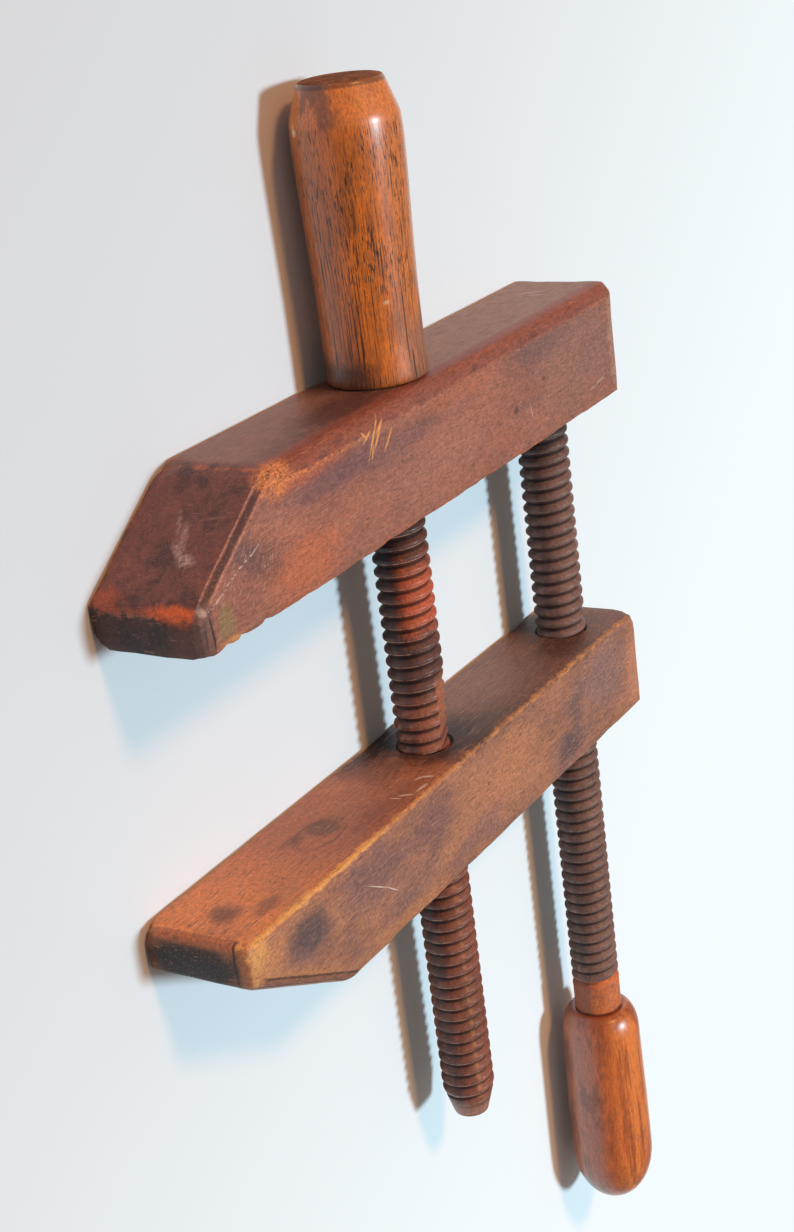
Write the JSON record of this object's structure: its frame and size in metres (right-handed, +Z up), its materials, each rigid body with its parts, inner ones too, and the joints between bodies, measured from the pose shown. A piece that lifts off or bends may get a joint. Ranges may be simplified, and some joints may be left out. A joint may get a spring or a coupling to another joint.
{
  "type": "handscrew clamp",
  "caption": "Wooden handscrew clamp: long bevel-nosed jaws drawn together by turned wooden screws, with a barrel handle and a bottle handle.",
  "frame": {"origin": "middle of the whole clamp's footprint, on the surface that it lies on", "axes": "+X along the jaws from their noses to their rear ends, +Y along the screws towards the barrel handle, +Z up from the surface"},
  "size_m": [0.249, 0.4466, 0.036],
  "materials": {
    "plain_jaw": "old dark oiled wood, worn matt",
    "threaded_jaw": "old orange-brown wood, worn matt",
    "middle_screw": "waxed dark wood",
    "end_screw": "waxed dark wood",
    "middle_handle": "hand-polished open-pored wood",
    "end_handle": "hand-polished wood"
  },
  "bodies": {
    "plain_jaw_body": {"plain_jaw": "plain_jaw"},
    "middle_screw_body": {"middle_screw": "middle_screw", "middle_handle": "middle_handle"},
    "end_screw_body": {"end_screw": "end_screw", "end_handle": "end_handle"},
    "threaded_jaw_body": {"threaded_jaw": "threaded_jaw"}
  },
  "joints": [
    {"name": "middle_screw_turn", "type": "hinge", "parent": "plain_jaw_body", "child": "middle_screw_body", "pos_m": [0.001, 0.1363, 0.018], "axis": [0, -1, 0], "range_deg": [-7560, 6768]},
    {"name": "end_screw_turn", "type": "hinge", "parent": "plain_jaw_body", "child": "end_screw_body", "pos_m": [0.0983, -0.1378, 0.018], "axis": [0, -1, 0], "range_deg": [-7560, 6768]},
    {"name": "jaw_slide", "type": "slide", "parent": "plain_jaw_body", "child": "threaded_jaw_body", "axis": [0, 1, 0], "range_m": [-0.08889, 0.07958]}
  ],
  "couplings": [
    {"joint": "middle_screw_turn", "follows": "jaw_slide", "rad_per_m": 1484.3},
    {"joint": "end_screw_turn", "follows": "jaw_slide", "rad_per_m": 1484.3}
  ]
}
